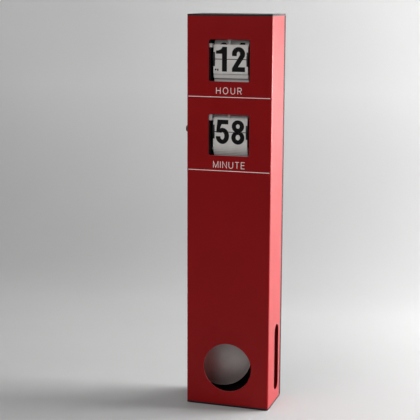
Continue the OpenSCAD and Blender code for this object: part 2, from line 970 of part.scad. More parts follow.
module pendulum_hanger() color("ivory")
    hung()
        difference() {
            upright(-hanger_t / 2, hanger_t) {
                circle(hanger_w / 2 + 1);
                translate([-hanger_w / 2, -hanger_l])
                    square([hanger_w, hanger_l]);
                translate([0, -magnet_l])
                    circle(magnet_r + 2);
            }
            upright(-hanger_t, 2 * hanger_t)
                circle(arbor_r + run_gap);
            upright(-1, hanger_t)
                translate([0, -magnet_l])
                    circle(magnet_r);
            translate([0, 0, -hanger_l - step_over])
                cylinder(r = rod_r, h = socket_l + step_over);
        }

module pendulum_magnet() color("gray")
    hung()
        upright(-1, hanger_t / 2 + 1.2)
            translate([0, -magnet_l])
                circle(magnet_r);

module pendulum_rod() color("silver")
    hung()
        translate([0, 0, -bob_l - 6])
            cylinder(r = rod_r, h = bob_l + 6 - hanger_l + socket_l);

// One pressed shell, bulging along +Z from the seam at z = 0.
module bob_shell() {
    difference() {
        rotate_extrude($fn = bob_fn)
            intersection() {
                translate([0, bob_t / 2 - bob_curve_r])
                    ring(bob_curve_r, bob_curve_r - shell_t);
                square([bob_r, bob_t]);
            }
        rotate([-90, 0, 0])
            cylinder(r = rod_r + run_gap, h = bob_r + 1);
    }
}

module bob_front() color("silver")
    hung()
        translate([0, 0, -bob_l])
            rotate([90, 0, 0])
                bob_shell();

module bob_rear() color("silver")
    hung()
        translate([0, 0, -bob_l])
            mirror([0, 1, 0])
                rotate([90, 0, 0])
                    bob_shell();

module bob_clip() color("goldenrod")
    hung()
        translate([0, 0, -bob_l])
            difference() {
                translate([-5, -3.5, -4])
                    cube([10, 7, 16]);
                translate([0, 0, -6 - step_over])
                    cylinder(r = rod_r, h = 20);
            }

// ---------- battery drive ----------

module drive_housing() color("dimgray")
    difference() {
        union() {
            translate([-drive_w / 2, drive_y, drive_z0])
                cube([drive_w, drive_d, drive_h]);
            upright(drive_y - 0.8, 1)
                translate([0, pivot_z])
                    circle(3.2);
        }
        translate([-bay_w / 2, drive_y + drive_wall, bay_z0])
            cube([bay_w, drive_d, bay_h]);
        translate([-drive_w / 2 + 8, drive_y + drive_wall, room_z0])
            cube([drive_w - 16, drive_d, room_h]);
        upright(drive_y - 1, drive_wall + 0.9)
            translate([0, pivot_z])
                circle(arbor_r);
        for (p = drive_screw)
            from_back(p[0], p[1])
                cylinder(r = frame_screw_r, h = frame_screw_l + 1, $fn = small_fn);
        for (i = [0, 1])
            shaft(-drive_w / 2 - 1, -drive_w / 2 + 9, [wire_y, wire_z + 2 * i], wire_r, $fn = small_fn);
    }

module drive_coil() color("chocolate")
    upright(drive_y + drive_wall, 6)
        translate([0, pivot_z - magnet_l])
            ring(8, 2.5);

module drive_board() color("darkgreen") {
    translate([-24, drive_y + drive_wall + 7, room_z0 + 3])
        cube([48, 1.2, room_h - 6]);
    translate([8, drive_y + drive_wall + 8.2, room_z0 + 10])
        cube([8, 1.5, 8]);
}

module battery_cells() color("steelblue")
    for (side = [-1, 1])
        translate([0, cell_y, door_z + side * cell_dz])
            rotate([0, 90 * side, 0])
                union() {
                    translate([0, 0, -cell_l / 2])
                        cylinder(r = cell_r, h = cell_l);
                    translate([0, 0, cell_l / 2])
                        cylinder(r = 2.7, h = 1);
                }

// Bent contact strips at both ends of the bay.
module battery_contacts() color("silver")
    for (side = [-1, 1], row = [-1, 1])
        translate([0, cell_y, door_z + row * cell_dz])
            mirror([side < 0 ? 1 : 0, 0, 0]) {
                translate([bay_w / 2 - 0.4, -4, -5])
                    cube([0.4, 8, 10]);
                translate([cell_l / 2 + 1, -2, -4])
                    cube([bay_w / 2 - cell_l / 2 - 1.2, 4, 0.4]);
                translate([cell_l / 2 + 1, -2, -4])
                    cube([0.4, 4, 7]);
            }

module motor_wires() color("maroon")
    for (i = [0, 1]) {
        x = wire_x - 2 * i;
        z = wire_z + 2 * i;
        shaft(-x - wire_r, -drive_w / 2 + 8, [wire_y, z], wire_r, $fn = small_fn);
        translate([-x, wire_y, z - wire_r])
            cylinder(r = wire_r, h = wire_turn_z - z + 2 * wire_r, $fn = small_fn);
        upright(wire_end_y - wire_r, wire_y - wire_end_y + 2 * wire_r)
            translate([-x, wire_turn_z])
                circle(wire_r, $fn = small_fn);
        translate([-x, wire_end_y, wire_turn_z - wire_r])
            cylinder(r = wire_r, h = motor_c[1] - motor_h / 2 - wire_turn_z + wire_r, $fn = small_fn);
    }

case_wrap();
top_cap();
bottom_cap();
back_panel();
battery_cover();
base_felt();
case_screws();
side_plate_left();
side_plate_right();
tie_rods();
rear_bridges();
frame_screws();
panel_screws();
hour_finger();
minute_finger();
flap_guides();
bushes();
train_plate();
train_pillars();
train_screws();
idler_pins();
idler_1();
idler_2();
idler_3();
minute_arbor();
minute_disc_left();
minute_disc_right();
minute_hub();
minute_pinion();
drive_wheel();
set_knob();
hour_arbor();
hour_disc_left();
hour_disc_right();
hour_hub();
hour_wheel();
minute_flap();
minute_pack_upper();
minute_pack_lower();
hour_flap();
hour_pack_upper();
hour_pack_lower();
motor_housing();
motor_cover();
motor_coil();
motor_pinion();
motor_screws();
pendulum_pin();
pendulum_hanger();
pendulum_magnet();
pendulum_rod();
bob_front();
bob_rear();
bob_clip();
drive_housing();
drive_coil();
drive_board();
battery_cells();
battery_contacts();
motor_wires();
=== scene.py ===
"""Flip number clock with a swinging pendulum: materials, printed parts, light and camera.

Lengths are written in millimetres and turned into metres by MM.
X is right seen from the front, -Y is the front, Z is up.
"""
import json
import math

import bmesh
import bpy
from mathutils import Matrix, Vector


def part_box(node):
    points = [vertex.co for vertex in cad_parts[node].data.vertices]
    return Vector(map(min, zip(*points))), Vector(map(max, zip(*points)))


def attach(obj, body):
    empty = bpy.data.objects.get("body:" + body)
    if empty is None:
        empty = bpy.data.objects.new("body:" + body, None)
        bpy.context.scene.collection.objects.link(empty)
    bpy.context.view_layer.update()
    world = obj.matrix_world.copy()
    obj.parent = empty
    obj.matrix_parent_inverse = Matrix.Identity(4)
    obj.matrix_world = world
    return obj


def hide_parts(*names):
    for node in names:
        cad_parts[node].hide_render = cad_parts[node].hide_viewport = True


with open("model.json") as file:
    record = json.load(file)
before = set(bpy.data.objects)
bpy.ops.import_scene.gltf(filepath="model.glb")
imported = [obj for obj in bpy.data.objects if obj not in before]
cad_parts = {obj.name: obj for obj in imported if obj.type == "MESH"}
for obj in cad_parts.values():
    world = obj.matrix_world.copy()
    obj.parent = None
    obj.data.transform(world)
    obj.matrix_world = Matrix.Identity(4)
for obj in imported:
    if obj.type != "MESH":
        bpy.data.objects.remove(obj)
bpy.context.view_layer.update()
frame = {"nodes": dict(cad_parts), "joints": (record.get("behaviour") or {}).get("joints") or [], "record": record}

MM = 0.001


# ---------------------------------------------------------------- places from the frame

def box_mm(node):
    """Lowest and highest corner of a CAD node, in millimetres."""
    low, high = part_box(node)
    return Vector(low) / MM, Vector(high) / MM


def joint_mm(name):
    """Pivot of a joint, in millimetres."""
    for joint in frame["joints"]:
        if joint["name"] == name:
            return Vector(joint["pos_m"]) / MM
    raise KeyError(name)


WRAP_LOW, WRAP_HIGH = box_mm("case_wrap")
SHEET_T = 1.0
BEND_R = 1.6
FLANGE_W = 8.0
WINDOW_W = 48.0
WINDOW_H = 47.0
WINDOW_R = 2.0
HOUR_WINDOW_Z = 407.6
MINUTE_WINDOW_Z = 323.4
ROUND_R = 29.0
ROUND_Z = 48.0
SLOT_W = 18.0
SLOT_H = 81.0
SLOT_Z = 55.5
SWING_Y = joint_mm("pendulum_swing").y
KNOB_HOLE_R = 4.5
FRONT_Y = WRAP_LOW.y


# ---------------------------------------------------------------- materials

class Shader:
    """Short calls for building one node material."""

    def __init__(self, name):
        self.material = bpy.data.materials.new(name)
        self.material.use_nodes = True
        self.tree = self.material.node_tree
        self.bsdf = self.tree.nodes["Principled BSDF"]
        self.coord = self.tree.nodes.new("ShaderNodeTexCoord").outputs["Object"]

    def node(self, kind, **values):
        made = self.tree.nodes.new(kind)
        for key, value in values.items():
            setattr(made, key, value)
        return made

    def link(self, out, target):
        self.tree.links.new(out, target)

    def set(self, **values):
        for key, value in values.items():
            self.bsdf.inputs[key.replace("_", " ")].default_value = value

    def scaled(self, stretch):
        mapping = self.node("ShaderNodeMapping")
        mapping.inputs["Scale"].default_value = stretch
        self.link(self.coord, mapping.inputs["Vector"])
        return mapping.outputs["Vector"]

    def noise(self, size_mm, detail=3.0, stretch=(1, 1, 1)):
        made = self.node("ShaderNodeTexNoise")
        made.inputs["Scale"].default_value = 1 / (size_mm * MM)
        made.inputs["Detail"].default_value = detail
        self.link(self.scaled(stretch), made.inputs["Vector"])
        return made.outputs["Fac"]

    def remap(self, value, low, high, from_low=0.3, from_high=0.7):
        """Spreads the usual range of a noise over low to high."""
        made = self.node("ShaderNodeMapRange")
        made.inputs["From Min"].default_value = from_low
        made.inputs["From Max"].default_value = from_high
        made.inputs["To Min"].default_value = low
        made.inputs["To Max"].default_value = high
        self.link(value, made.inputs["Value"])
        return made.outputs["Result"]

    def mix(self, share, first, second):
        made = self.node("ShaderNodeMix", data_type="RGBA")
        for socket, colour in ((6, first), (7, second)):
            if isinstance(colour, tuple):
                made.inputs[socket].default_value = (*colour, 1)
            else:
                self.link(colour, made.inputs[socket])
        self.link(share, made.inputs[0])
        return made.outputs[2]

    def math(self, operation, a, b=None):
        made = self.node("ShaderNodeMath", operation=operation)
        for socket, value in enumerate((a, b)):
            if value is None:
                continue
            if isinstance(value, (int, float)):
                made.inputs[socket].default_value = value
            else:
                self.link(value, made.inputs[socket])
        return made.outputs[0]

    def rounded_normal(self, radius_mm):
        made = self.node("ShaderNodeBevel", samples=4)
        made.inputs["Radius"].default_value = radius_mm * MM
        return made.outputs["Normal"]

    def edge_mask(self, radius_mm):
        """1 on a sharp edge, 0 on a flat face."""
        geometry = self.node("ShaderNodeNewGeometry")
        dot = self.node("ShaderNodeVectorMath", operation="DOT_PRODUCT")
        self.link(self.rounded_normal(radius_mm), dot.inputs[0])
        self.link(geometry.outputs["Normal"], dot.inputs[1])
        return self.remap(dot.outputs["Value"], 1.0, 0.0, 0.75, 0.98)

    def bump(self, height, depth_mm, normal=None, strength=1.0):
        made = self.node("ShaderNodeBump")
        made.inputs["Strength"].default_value = strength
        made.inputs["Distance"].default_value = depth_mm * MM
        self.link(height, made.inputs["Height"])
        if normal is not None:
            self.link(normal, made.inputs["Normal"])
        return made.outputs["Normal"]

    def see_through_from_behind(self):
        """Shows the front of each face only, so that the stage never hides the clock."""
        geometry = self.node("ShaderNodeNewGeometry")
        blend = self.node("ShaderNodeMixShader")
        self.link(geometry.outputs["Backfacing"], blend.inputs[0])
        self.link(self.bsdf.outputs["BSDF"], blend.inputs[1])
        self.link(self.node("ShaderNodeBsdfTransparent").outputs[0], blend.inputs[2])
        self.link(blend.outputs[0], self.tree.nodes["Material Output"].inputs["Surface"])

    def finish(self, colour, roughness, normal):
        self.link(colour, self.bsdf.inputs["Base Color"])
        self.link(roughness, self.bsdf.inputs["Roughness"])
        self.link(normal, self.bsdf.inputs["Normal"])
        return self.material


def shade(colour, factor):
    return tuple(min(1.0, c * factor) for c in colour)


def surface(name, colour, rough, grain_mm=0.35, depth_mm=0.004, mottle=0.12, mottle_mm=14,
            stretch=(1, 1, 1), edge_mm=0.2, wear=1.25, wear_share=0.6, **extra):
    """A moulded, painted or machined surface with grain, cloudy colour and worn edges."""
    s = Shader(name)
    cloud = s.noise(mottle_mm, 4)
    base = s.mix(s.remap(cloud, 0, 1), shade(colour, 1 - mottle), shade(colour, 1 + mottle))
    edge = s.math("MULTIPLY", s.edge_mask(edge_mm), s.remap(s.noise(1.6), 0.2, wear_share))
    base = s.mix(edge, base, shade(colour, wear))
    grain = s.noise(grain_mm, 3, stretch)
    roughness = s.remap(s.noise(mottle_mm / 3, 3, stretch), rough * 0.85, rough * 1.15)
    normal = s.bump(grain, depth_mm, s.rounded_normal(edge_mm))
    s.set(**extra)
    return s.finish(base, roughness, normal)


def lacquer():
    """Deep red lacquer on steel sheet: orange peel, fine flecks, worn a little on the edges.

    The roughness stays above 0.28: with a range that went down to 0.27 the denoised
    picture had blotches.
    """
    s = Shader("red_lacquer")
    colour = (0.25, 0.002, 0.0035)
    cloud = s.noise(60, 3)
    base = s.mix(s.remap(cloud, 0, 1), shade(colour, 0.95), shade(colour, 1.05))
    fleck = s.remap(s.noise(0.25, 2), 0, 0.08, 0.5, 0.75)
    base = s.mix(fleck, base, (0.32, 0.005, 0.008))
    worn = s.math("MULTIPLY", s.edge_mask(0.3), s.remap(s.noise(2.5), 0.1, 0.5))
    base = s.mix(worn, base, (0.30, 0.006, 0.012))
    peel = s.bump(s.noise(2.2, 2), 0.008)
    fine = s.bump(s.noise(0.4, 2), 0.0015, peel)
    rough = s.remap(s.noise(30, 4), 0.29, 0.35)
    s.set(IOR=1.26, Sheen_Weight=0.24, Sheen_Roughness=0.35)
    return s.finish(base, rough, fine)


def card_stock():
    """Thin light grey plastic card with a faint fibre and painted shade along its edges."""
    s = Shader("card_light")
    base = s.mix(s.remap(s.noise(9, 4), 0, 1), (0.60, 0.575, 0.555), (0.65, 0.625, 0.605))
    # Painted shade: every card edge is darkened, standing in for the shadow in the gap at the split and under the
    # card edges.
    edge = s.edge_mask(0.25)
    base = s.mix(s.math("MULTIPLY", edge, 0.35), base, (0.30, 0.29, 0.28))
    height = s.noise(0.25, 3, (1, 1, 2.5))
    return s.finish(base, s.remap(s.noise(5), 0.42, 0.55), s.bump(height, 0.004))


def spun_metal():
    """Satin pendulum metal with a fine grain and a few long soft scuffs."""
    s = Shader("bob_metal")
    base = s.mix(s.remap(s.noise(18, 4), 0, 1), (0.42, 0.395, 0.38), (0.49, 0.465, 0.45))
    scuff = s.remap(s.noise(1.2, 4, (1, 1, 9)), 0, 0.25, 0.55, 0.8)
    base = s.mix(scuff, base, (0.56, 0.53, 0.52))
    grain = s.bump(s.noise(0.12, 2), 0.003)
    s.set(Metallic=0.4)
    return s.finish(base, s.remap(s.noise(7, 4), 0.42, 0.52), grain)


def nylon():
    s = Shader("white_nylon")
    base = s.mix(s.remap(s.noise(4, 3), 0, 1), (0.40, 0.40, 0.39), (0.46, 0.46, 0.45))
    normal = s.bump(s.noise(0.3, 2), 0.004, s.rounded_normal(0.15))
    s.set(Subsurface_Weight=0.2, Subsurface_Scale=0.002)
    return s.finish(base, s.remap(s.noise(3), 0.28, 0.4), normal)


def winding():
    """Enamelled copper wire wound round a bobbin, seen as fine rings."""
    s = Shader("copper_coil")
    wave = s.node("ShaderNodeTexWave", wave_type="RINGS", rings_direction="Y")
    wave.inputs["Scale"].default_value = 1 / (1.2 * MM)
    wave.inputs["Distortion"].default_value = 1.5
    s.link(s.coord, wave.inputs["Vector"])
    base = s.mix(wave.outputs["Fac"], (0.28, 0.09, 0.03), (0.62, 0.26, 0.10))
    s.set(Metallic=0.7)
    return s.finish(base, s.remap(s.noise(2), 0.3, 0.45), s.bump(wave.outputs["Fac"], 0.06))


def circuit_board():
    """Green solder mask over a pattern of tracks."""
    s = Shader("board_green")
    tracks = s.node("ShaderNodeTexBrick")
    tracks.inputs["Scale"].default_value = 260
    tracks.inputs["Mortar Size"].default_value = 0.03
    s.link(s.coord, tracks.inputs["Vector"])
    base = s.mix(s.remap(tracks.outputs["Fac"], 0, 0.5, 0, 1), (0.02, 0.12, 0.05), (0.05, 0.22, 0.09))
    return s.finish(base, s.remap(s.noise(3), 0.3, 0.4), s.bump(tracks.outputs["Fac"], 0.02))


def felt():
    s = Shader("felt")
    fibre = s.noise(0.18, 5)
    base = s.mix(s.remap(fibre, 0, 1), (0.012, 0.012, 0.013), (0.05, 0.05, 0.052))
    s.set(Sheen_Weight=0.4)
    return s.finish(base, s.remap(fibre, 0.85, 1.0), s.bump(fibre, 0.12))


def cell_jacket():
    """Battery jacket: a plain band of a second colour near the cap end."""
    s = Shader("cell_jacket")
    split = s.node("ShaderNodeSeparateXYZ")
    s.link(s.coord, split.inputs[0])
    distance = s.math("ABSOLUTE", split.outputs["X"])
    band = s.math("GREATER_THAN", distance, 14 * MM)
    blue = s.mix(s.remap(s.noise(6), 0, 1), (0.03, 0.08, 0.22), (0.04, 0.10, 0.27))
    base = s.mix(band, blue, (0.55, 0.36, 0.10))
    s.set(Coat_Weight=0.6)
    return s.finish(base, s.remap(s.noise(3), 0.29, 0.36), s.bump(s.noise(1.5), 0.01))


MATERIAL = {
    "red_lacquer": lacquer(),
    "black_plastic": surface("black_plastic", (0.010, 0.010, 0.011), 0.5, wear=1.8, IOR=1.32),
    "black_panel": surface("black_panel", (0.010, 0.009, 0.009), 0.66, grain_mm=0.8,
                           depth_mm=0.02, wear=1.6, IOR=1.28),
    "white_nylon": nylon(),
    "card_light": card_stock(),
    "steel": surface("steel", (0.36, 0.36, 0.37), 0.36, grain_mm=0.2, stretch=(0.1, 1, 1),
                     wear=1.1, Metallic=1.0),
    "bob_metal": spun_metal(),
    "brass": surface("brass", (0.62, 0.44, 0.18), 0.34, grain_mm=0.25, wear=1.2, Metallic=1.0),
    "felt": felt(),
    "copper_coil": winding(),
    "board_green": circuit_board(),
    "cell_jacket": cell_jacket(),
    "magnet": surface("magnet", (0.12, 0.12, 0.125), 0.5, grain_mm=0.5, depth_mm=0.02,
                      Metallic=0.6),
    "wire_insulation": surface("wire_insulation", (0.42, 0.02, 0.018), 0.35, wear=1.05),
    "ink": surface("ink", (0.009, 0.008, 0.008), 0.6, grain_mm=0.2, depth_mm=0.002, edge_mm=0.02,
                   IOR=1.15),
    "print_white": surface("print_white", (1.0, 0.84, 0.82), 0.5, grain_mm=0.3,
                           depth_mm=0.002, edge_mm=0.02),
}


def paint_frame():
    """Gives every CAD node the material of its slot in the record."""
    slots = {part["node"]: part["material_slot"] for part in frame["record"]["subparts"]}
    for name, obj in frame["nodes"].items():
        material = MATERIAL[slots[name]]
        for slot in obj.material_slots:
            slot.material = material
        if not obj.material_slots:
            obj.data.materials.append(material)


# ---------------------------------------------------------------- mesh helpers


def add_piece(name, bm, material, body, sharp_deg=35):
    """Turns a bmesh in millimetres into a piece that rides on a body.

    Ink isn't a finish in the record, so printed pieces name no slot.
    """
    bmesh.ops.scale(bm, vec=(MM, MM, MM), verts=bm.verts)
    bmesh.ops.recalc_face_normals(bm, faces=bm.faces)
    mesh = bpy.data.meshes.new(name)
    bm.to_mesh(mesh)
    bm.free()
    for polygon in mesh.polygons:
        polygon.use_smooth = True
    mesh.set_sharp_from_angle(angle=math.radians(sharp_deg))
    obj = bpy.data.objects.new(name, mesh)
    bpy.context.collection.objects.link(obj)
    mesh.materials.append(MATERIAL[material])
    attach(obj, body)
    return obj


def arc(cx, cz, rx, rz, start, end, steps=24):
    """Points of an ellipse arc from start to end degrees."""
    points = []
    for i in range(steps + 1):
        a = math.radians(start + (end - start) * i / steps)
        points.append((cx + rx * math.cos(a), cz + rz * math.sin(a)))
    return points


def rounded_rectangle(cx, cz, w, h, r, steps=10):
    points = []
    for sx, sz, start in ((1, 1, 0), (-1, 1, 90), (-1, -1, 180), (1, -1, 270)):
        points += arc(cx + sx * (w / 2 - r), cz + sz * (h / 2 - r), r, r, start, start + 90, steps)
    return points


def fill_outline(bm, outlines):
    """Fills closed outlines, holes included, in the plane Y = 0."""
    edges = []
    for outline in outlines:
        verts = [bm.verts.new((x, 0, z)) for x, z in outline]
        for i, vert in enumerate(verts):
            edges.append(bm.edges.new((vert, verts[(i + 1) % len(verts)])))
    bmesh.ops.triangle_fill(bm, edges=edges, use_beauty=True)


def cut(bm, point, normal, keep_below=False):
    """Cuts the mesh by a plane; with keep_below the part on the normal's side goes."""
    geometry = bm.verts[:] + bm.edges[:] + bm.faces[:]
    bmesh.ops.bisect_plane(bm, geom=geometry, plane_co=point, plane_no=normal,
                           clear_outer=keep_below, dist=1e-5)


def thicken(bm, depth):
    """Extrudes the flat mesh towards -Y by depth."""
    made = bmesh.ops.extrude_face_region(bm, geom=bm.faces[:])
    moved = [v for v in made["geom"] if isinstance(v, bmesh.types.BMVert)]
    bmesh.ops.translate(bm, vec=(0, -depth, 0), verts=moved)


def lathe(profile, steps=96):
    """Turns a profile of (radius, height) points round the Y axis; ends on the axis close up."""
    bm = bmesh.new()
    rings = []
    for radius, height in profile:
        if radius < 1e-6:
            rings.append([bm.verts.new((0, height, 0))])
            continue
        ring = []
        for i in range(steps):
            a = 2 * math.pi * i / steps
            ring.append(bm.verts.new((radius * math.cos(a), height, radius * math.sin(a))))
        rings.append(ring)
    for first, second in zip(rings, rings[1:]):
        for i in range(steps):
            j = (i + 1) % steps
            corners = [first[i % len(first)], first[j % len(first)],
                       second[j % len(second)], second[i % len(second)]]
            unique = list(dict.fromkeys(corners))
            if len(unique) > 2:
                bm.faces.new(unique)
    return bm


# ---------------------------------------------------------------- case sheet

def wrap_path():
    """Length and mapping of the folded sheet, from one rear flange round the front to the other."""
    half = WRAP_HIGH.x
    back = WRAP_HIGH.y
    front = WRAP_LOW.y
    return [("line", (-half + FLANGE_W, back), (-half + BEND_R, back)),
            ("bend", (-half + BEND_R, back - BEND_R), 90),
            ("line", (-half, back - BEND_R), (-half, front + BEND_R)),
            ("bend", (-half + BEND_R, front + BEND_R), 180),
            ("line", (-half + BEND_R, front), (half - BEND_R, front)),
            ("bend", (half - BEND_R, front + BEND_R), 270),
            ("line", (half, front + BEND_R), (half, back - BEND_R)),
            ("bend", (half - BEND_R, back - BEND_R), 0),
            ("line", (half - BEND_R, back), (half - FLANGE_W, back))]


BEND_LENGTH = BEND_R * math.pi / 2
BEND_CUTS = 8
CUT_EDGE_R = 0.12
# A face whose normal lies this close to an axis is flat; the others belong to a bend.
FLAT_FACE = 0.999
# Places of the two sides in the list of wrap_path.
LEFT_SIDE_PART = 2
RIGHT_SIDE_PART = 6


def part_length(part):
    if part[0] == "bend":
        return BEND_LENGTH
    return math.dist(part[1], part[2])


def fold_point(path, u):
    """Plan position of the point at length u along the folded sheet."""
    for part in path:
        length = part_length(part)
        if u <= length + 1e-6 or part is path[-1]:
            share = u / length
            if part[0] == "line":
                return tuple(a + (b - a) * share for a, b in zip(part[1], part[2]))
            a = math.radians(part[2] + 90 * share)
            return (part[1][0] + BEND_R * math.cos(a), part[1][1] + BEND_R * math.sin(a))
        u -= length
    raise ValueError(u)


def stadium(cx, cz, w, h):
    return (arc(cx, cz + (h - w) / 2, w / 2, w / 2, 0, 180, 20)
            + arc(cx, cz - (h - w) / 2, w / 2, w / 2, 180, 360, 20))


def part_starts(path):
    """Length along the sheet at which each part of the path starts, and the whole length."""
    starts = [0]
    for part in path:
        starts.append(starts[-1] + part_length(part))
    return starts


def blank_outlines(starts):
    """Outline of the flat blank, followed by the outlines of its openings."""
    total = starts[-1]
    front_mid = total / 2
    left_side = starts[LEFT_SIDE_PART]
    right_side = starts[RIGHT_SIDE_PART]
    back_edge = WRAP_HIGH.y - BEND_R
    front_edge = WRAP_LOW.y + BEND_R
    z0, z1 = WRAP_LOW.z, WRAP_HIGH.z
    outlines = [[(0, z0), (total, z0), (total, z1), (0, z1)]]
    for z in (HOUR_WINDOW_Z, MINUTE_WINDOW_Z):
        outlines.append(rounded_rectangle(front_mid, z, WINDOW_W, WINDOW_H, WINDOW_R))
    outlines.append(arc(front_mid, ROUND_Z, ROUND_R, ROUND_R, 0, 360, 120)[:-1])
    for u in (left_side + back_edge - SWING_Y, right_side + SWING_Y - front_edge):
        outlines.append(stadium(u, SLOT_Z, SLOT_W, SLOT_H))
    knob = joint_mm("minute_turn")
    knob_u = left_side + back_edge - knob.y
    outlines.append(arc(knob_u, knob.z, KNOB_HOLE_R, KNOB_HOLE_R, 0, 360, 40)[:-1])
    return [remove_doubles(outline) for outline in outlines]


def add_sheet_thickness(piece):
    """Gives the folded surface the thickness of the sheet and softens its cut edges."""
    solid = piece.modifiers.new("sheet", "SOLIDIFY")
    solid.thickness = SHEET_T * MM
    solid.offset = -1 if normal_points_out(piece) else 1
    bevel = piece.modifiers.new("edge", "BEVEL")
    bevel.width = CUT_EDGE_R * MM
    bevel.segments = 2
    bevel.limit_method = "ANGLE"
    bevel.angle_limit = math.radians(50)
    weighted = piece.modifiers.new("shading", "WEIGHTED_NORMAL")
    weighted.keep_sharp = True


def build_wrap():
    """Cuts the flat blank with its openings, then folds it like the real sheet."""
    path = wrap_path()
    starts = part_starts(path)
    bm = bmesh.new()
    fill_outline(bm, blank_outlines(starts))
    for start, part in zip(starts, path):
        if part[0] == "bend":
            for i in range(BEND_CUTS + 1):
                cut(bm, (start + BEND_LENGTH * i / BEND_CUTS, 0, 0), (1, 0, 0))
    for vert in bm.verts:
        x, y = fold_point(path, vert.co.x)
        vert.co = (x, y, vert.co.z)
    piece = add_piece("sheet_wrap", bm, "red_lacquer", "case")
    for polygon in piece.data.polygons:
        polygon.use_smooth = max(abs(polygon.normal.x), abs(polygon.normal.y)) < FLAT_FACE
    add_sheet_thickness(piece)
    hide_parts("case_wrap")


def remove_doubles(outline):
    """Drops points that repeat the one before them."""
    kept = []
    for point in outline:
        if not kept or math.dist(point, kept[-1]) > 1e-4:
            kept.append(point)
    if math.dist(kept[0], kept[-1]) < 1e-4:
        kept.pop()
    return kept


def normal_points_out(piece):
    """Does the largest front face look towards the front?"""
    largest = max(piece.data.polygons, key=lambda p: p.area if abs(p.normal.y) > 0.9 else 0)
    return largest.normal.y * (largest.center.y - SHEET_T * MM) > 0


# ---------------------------------------------------------------- digits and letters

TOP = 13.9
DIGIT_PITCH = 18.4


def glyph_outlines(sign):
    """Outlines of one printed digit, each a separate solid shape with its holes."""
    if sign == "0":
        return [[ellipse(0, 0, 7.8, TOP), ellipse(0, 0, 2.3, 8.9)]]
    if sign == "1":
        return [[[(0.8, -TOP), (0.8, 6.0), (-6.3, 6.0), (-6.3, 9.5)]
                 + arc(-6.3, TOP, 7.3, 4.3, -85, -8, 8)
                 + [(1.3, TOP), (6.7, TOP), (6.7, -TOP)]]]
    if sign == "2":
        return [[arc(0, 6.2, 7.7, 7.7, 199, -36)
                 + [(-0.5, -8.5), (7.7, -8.5), (7.7, -TOP), (-7.6, -TOP), (-7.6, -10.0)]
                 + arc(-0.1, 6.1, 1.9, 2.6, -44, 186)
                 + [(-2.0, 3.7)]]]
    if sign == "5":
        return [[[(7.0, TOP), (-5.9, TOP), (-7.5, -0.8), (-2.2, -1.0)]
                 + arc(0, -4.6, 2.4, 4.2, 135, -173)
                 + arc(0, -4.6, 8.0, 9.3, -177, 110)
                 + [(-0.9, 8.8), (7.0, 8.8)]]]
    if sign == "8":
        return [[ellipse(0, 6.7, 7.3, 7.2), ellipse(0, 6.8, 2.2, 2.5)],
                [ellipse(0, -6.1, 7.8, 7.8), ellipse(0, -5.8, 2.6, 3.1)]]
    if sign == "9":
        return [[ellipse(0, 5.2, 7.8, 8.7), ellipse(0, 5.4, 2.4, 3.7)],
                [arc(0, -3.4, 7.8, 10.5, 0, -152) + arc(0, -3.4, 2.4, 5.5, -150, 0)
                 + [(2.4, 4.5), (7.8, 4.5)]]]
    raise KeyError(sign)


def ellipse(cx, cz, rx, rz):
    return arc(cx, cz, rx, rz, 0, 360, 48)[:-1]


def outline_solid(outlines, place, depth):
    """A thin solid of one outline with its holes; place moves (x, z) to the sheet."""
    bm = bmesh.new()
    fill_outline(bm, [remove_doubles([place(*p) for p in outline]) for outline in outlines])
    thicken(bm, depth)
    return bm


def joined(solids, name):
    """Unites several thin solids into one clean mesh."""
    objects = []
    for i, bm in enumerate(solids):
        bmesh.ops.recalc_face_normals(bm, faces=bm.faces)
        mesh = bpy.data.meshes.new(f"{name}_{i}")
        bm.to_mesh(mesh)
        bm.free()
        obj = bpy.data.objects.new(f"{name}_{i}", mesh)
        bpy.context.collection.objects.link(obj)
        objects.append(obj)
    base = objects[0]
    for other in objects[1:]:
        modifier = base.modifiers.new("unite", "BOOLEAN")
        modifier.operation = "UNION"
        modifier.solver = "EXACT"
        modifier.object = other
    graph = bpy.context.evaluated_depsgraph_get()
    result = bmesh.new()
    mesh = bpy.data.meshes.new_from_object(base.evaluated_get(graph))
    result.from_mesh(mesh)
    for obj in objects:
        bpy.data.objects.remove(obj)
    return result


def merge(bms):
    """One bmesh from several that don't touch."""
    total = bmesh.new()
    for bm in bms:
        mesh = bpy.data.meshes.new("part")
        bm.to_mesh(mesh)
        bm.free()
        total.from_mesh(mesh)
        bpy.data.meshes.remove(mesh)
    return total


INK_T = 0.03


def number_bm(text):
    """A two-digit number round the origin, printed towards -Y."""
    digits = []
    for i, sign in enumerate(text):
        cx = (i - 0.5) * DIGIT_PITCH
        if sign == "1" and i == 0:
            cx -= 1.8
        solids = [outline_solid(shape, lambda x, z: (x + cx, z), INK_T)
                  for shape in glyph_outlines(sign)]
        digits.append(joined(solids, "digit"))
    return merge(digits)


def ribbon(points, width):
    """Outline of a stroke of even width with mitred corners; a closed stroke gives a ring."""
    closed = math.dist(points[0], points[-1]) < 1e-6
    if closed:
        points = points[:-1]
    count = len(points)
    left, right = [], []
    for i, (x, z) in enumerate(points):
        before = points[i - 1] if closed or i > 0 else None
        after = points[(i + 1) % count] if closed or i < count - 1 else None
        into = Vector((x - before[0], z - before[1])) if before else None
        onward = Vector((after[0] - x, after[1] - z)) if after else into
        into = into or onward
        first = Vector((-into.y, into.x)).normalized()
        second = Vector((-onward.y, onward.x)).normalized()
        across = (first + second).normalized()
        reach = width / 2 / max(0.4, across.dot(first))
        left.append((x + across.x * reach, z + across.y * reach))
        right.append((x - across.x * reach, z - across.y * reach))
    return [left, right] if closed else [left + right[::-1]]


